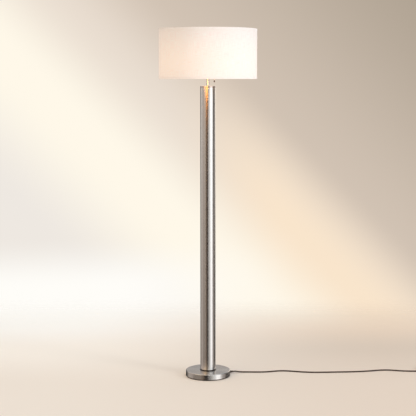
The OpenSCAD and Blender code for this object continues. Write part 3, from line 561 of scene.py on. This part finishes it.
def studioFloor():
    bm = bmesh.new()
    bmesh.ops.create_circle(bm, cap_ends=True, radius=floor["radius"], segments=floor["segments"])
    ground = bpy.data.objects.new("studioFloor", meshFrom(bm, "studioFloor"))
    bpy.context.scene.collection.objects.link(ground)
    material, tree = newMaterial("studioFloor")
    x, y = axesOf(objectPlace(tree))[:2]
    radius = (x * x + y * y) ** 0.5
    fade = between(y, *floor["backFade"]) * between(radius, *floor["edgeFade"])
    toRight = between(x, *floor["toRight"])
    near, middle, far = (mixColours(toRight, *[asSeen(side) for side in floor[row]])
                         for row in ("near", "middle", "far"))
    colour = mixColours(between(y, *floor["toMiddle"]), near, middle)
    colour = mixColours(between(y, *floor["toFar"]), colour, far)
    aside = tree.sum("ABSOLUTE", x)
    colour = mixColours(between(aside, *floor["toBeyond"]), colour, asSeen(floor["beyond"]))
    solid = tree.node("BsdfPrincipled", None, {
        "Base Color": colour, "Roughness": floor["rough"], "Specular IOR Level": 0.0})
    clear = tree.node("BsdfTransparent")
    glossy = tree.node("LightPath", out="Is Glossy Ray")
    closeTree(tree.node("MixShader", None, {0: fade * (1 - glossy), 1: clear, 2: solid}))
    ground.data.materials.append(material)


# Light that comes from each direction round the lamp, in degrees from the camera towards the right
walls = {
    "high": [
        (-180, (0.55, 0.54, 0.53)), (-110, (0.80, 0.70, 0.66)), (-42, (1.85, 1.42, 0.84)),
        (-5, (0.80, 0.76, 0.66)), (45, (0.50, 0.66, 0.84)), (100, (0.40, 0.48, 0.60)),
        (180, (0.55, 0.54, 0.53))],
    "level": [
        (-180, (0.45, 0.44, 0.43)), (-170, (0.45, 0.44, 0.43)), (-164, (0.04, 0.04, 0.04)),
        (-144, (0.04, 0.04, 0.04)), (-131, (0.68, 0.66, 0.66)), (-112, (1.20, 1.18, 1.16)),
        (-92, (0.72, 0.69, 0.66)), (-62, (0.88, 0.84, 0.80)), (-39, (0.86, 0.79, 0.76)),
        (-30, (0.02, 0.01, 0.01)), (-2, (0.02, 0.01, 0.01)), (5, (1.15, 1.15, 1.15)),
        (16, (1.35, 1.42, 1.45)), (26, (1.70, 1.80, 1.85)), (33, (2.40, 2.60, 2.75)),
        (65, (2.40, 2.60, 2.75)), (74, (1.00, 1.05, 1.10)), (83, (0.03, 0.03, 0.03)),
        (88, (0.01, 0.01, 0.01)), (105, (0.01, 0.01, 0.01)), (114, (0.55, 0.55, 0.52)),
        (130, (0.90, 0.86, 0.80)), (148, (1.80, 1.65, 1.50)), (164, (1.20, 1.15, 1.10)),
        (180, (0.45, 0.44, 0.43))],
    "low": [
        (-180, (0.02, 0.02, 0.02)), (-142, (0.02, 0.02, 0.02)), (-122, (0.40, 0.36, 0.32)),
        (-92, (0.44, 0.38, 0.35)), (-76, (0.16, 0.12, 0.10)), (-46, (0.11, 0.09, 0.07)),
        (-28, (0.46, 0.37, 0.32)), (-17, (0.02, 0.01, 0.01)), (10, (0.01, 0.01, 0.01)),
        (18, (0.12, 0.09, 0.08)), (25, (0.34, 0.32, 0.30)), (39, (0.42, 0.41, 0.40)),
        (46, (1.70, 1.72, 1.76)), (62, (1.60, 1.62, 1.66)), (72, (0.90, 0.88, 0.88)),
        (84, (0.60, 0.57, 0.55)), (100, (0.62, 0.57, 0.54)), (110, (0.04, 0.03, 0.03)),
        (150, (0.02, 0.02, 0.02)), (180, (0.02, 0.02, 0.02))],
    "below": [
        (-180, (0.42, 0.38, 0.35)), (-150, (0.42, 0.38, 0.35)), (-96, (0.52, 0.48, 0.44)),
        (-82, (0.10, 0.08, 0.07)), (9, (0.02, 0.02, 0.02)), (22, (0.48, 0.45, 0.42)),
        (60, (0.95, 0.92, 0.90)), (98, (0.50, 0.46, 0.43)), (112, (0.05, 0.04, 0.04)),
        (150, (0.05, 0.04, 0.04)), (166, (0.42, 0.38, 0.35)), (180, (0.42, 0.38, 0.35))],
}
wallHeights = {"low": (-0.03, -0.19), "below": (-0.28, -0.42), "high": (0.26, 0.44)}  # else level
ceiling = {"light": (1.04, 1.03, 1.01), "height": (0.6, 0.9)}

# Background behind the lamp, darkest at the upper right. Each tone lies over the one before it, and comes
# in between two values of a direction's x, y, z or slant, which grows towards the lower left.
# The tones are painted light and shade on the background: painted patches of light and a painted gleam
# towards the lower left, painted shade at the upper right.
backdrop = {
    "first": (174, 161, 145),
    "tones": [
        ((212, 197, 182), {"slant": (-0.30, 0.03)}),
        ((234, 222, 209), {"slant": (-0.03, 0.07)}),
        ((249, 229, 204), {"slant": (-0.035, 0.055), "x": (-0.04, 0.07)}),
        ((255, 248, 233), {"slant": (0.055, 0.145)}),
        ((238, 232, 225), {"slant": (0.165, 0.275)}),
        ((255, 253, 248), {"z": (-0.135, -0.18), "x": (0.08, -0.08)}),
        ((228, 218, 208), {"y": (0.92, 0.80)}),
        ((228, 218, 208), {"z": (-0.2, -0.3)}),
    ],
}


def studioWorld():
    world = bpy.data.worlds.new("studioWorld")
    bpy.context.scene.world = world
    world.use_nodes = True
    world.node_tree.nodes.clear()
    tree = Tap(world.node_tree)
    x, y, z = axesOf(tree.node("TexCoord", out="Generated"))
    turn = tree.sum("ARCTAN2", x, y * -1.0) * (1 / (2 * pi)) + 0.5
    ring = {}
    for name, lights in walls.items():
        stops = [(degrees / 360 + 0.5, light) for degrees, light in lights]
        ring[name] = tree.node("ValToRGB", {"stops": stops}, {0: turn})
    lit = ring["level"]
    for name, heights in wallHeights.items():
        lit = mixColours(between(z, *heights), lit, ring[name])
    lit = mixColours(between(z, *ceiling["height"]), lit, ceiling["light"])
    ways = {"slant": x * -1.0 - z, "x": x, "y": y, "z": z}
    seen = asSeen(backdrop["first"])
    for tone, limits in backdrop["tones"]:
        share = prod(between(ways[way], *ends) for way, ends in limits.items())
        seen = mixColours(share, seen, asSeen(tone))
    light = tree.node("Background", None, {0: lit, 1: 1.0})
    behind = tree.node("Background", None, {0: seen, 1: 1.0})
    cameraRay = tree.node("LightPath", out="Is Camera Ray")
    closeTree(tree.node("MixShader", None, {0: cameraRay, 1: light, 2: behind}), "OutputWorld")


# The bulb's own light, the light that the lining throws back on the neck and the top of the column, and
# a soft lamp at the right that gives the shade and the floor their shape
lampLights = {
    "bulbGlow": {"kind": "POINT", "power": 3.0, "size": 0.034, "colour": (255, 200, 140),
                 "place": (0, 0, 1.545)},
    "liningGlow": {"kind": "AREA", "power": 0.14, "size": 0.10, "colour": (255, 172, 96), "spread": 80,
                   "place": (-0.052, -0.176, 1.435), "toward": (0, 0, 1.30)},
    "liningGlowSide": {"kind": "AREA", "power": 0.24, "size": 0.08, "colour": (255, 190, 122),
                       "place": (-0.120, -0.125, 1.45), "toward": (0, 0, 1.36)},
    "sideLight": {"kind": "AREA", "power": 54, "size": 1.2, "colour": (255, 250, 244),
                  "place": (4.6, -3.0, 2.5), "toward": (0, 0, 0.3), "shines": False},
}


def lampLight(name, spec):
    data = bpy.data.lights.new(name, spec["kind"])
    data.energy = spec["power"]
    data.color = asSeen(spec["colour"])
    light = bpy.data.objects.new(name, data)
    light.location = spec["place"]
    if spec["kind"] == "POINT":
        data.shadow_soft_size = spec["size"]
    else:
        data.size = spec["size"]
        data.spread = radians(spec.get("spread", 180))
        light.rotation_euler = (Vector(spec["toward"]) - light.location).to_track_quat("-Z", "Y").to_euler()
    light.visible_camera = False
    light.visible_glossy = spec.get("shines", True)
    bpy.context.scene.collection.objects.link(light)


studioFloor()
studioWorld()
for name, spec in lampLights.items():
    lampLight(name, spec)
bpy.context.scene.view_settings.view_transform = "Standard"
print("studio set up")
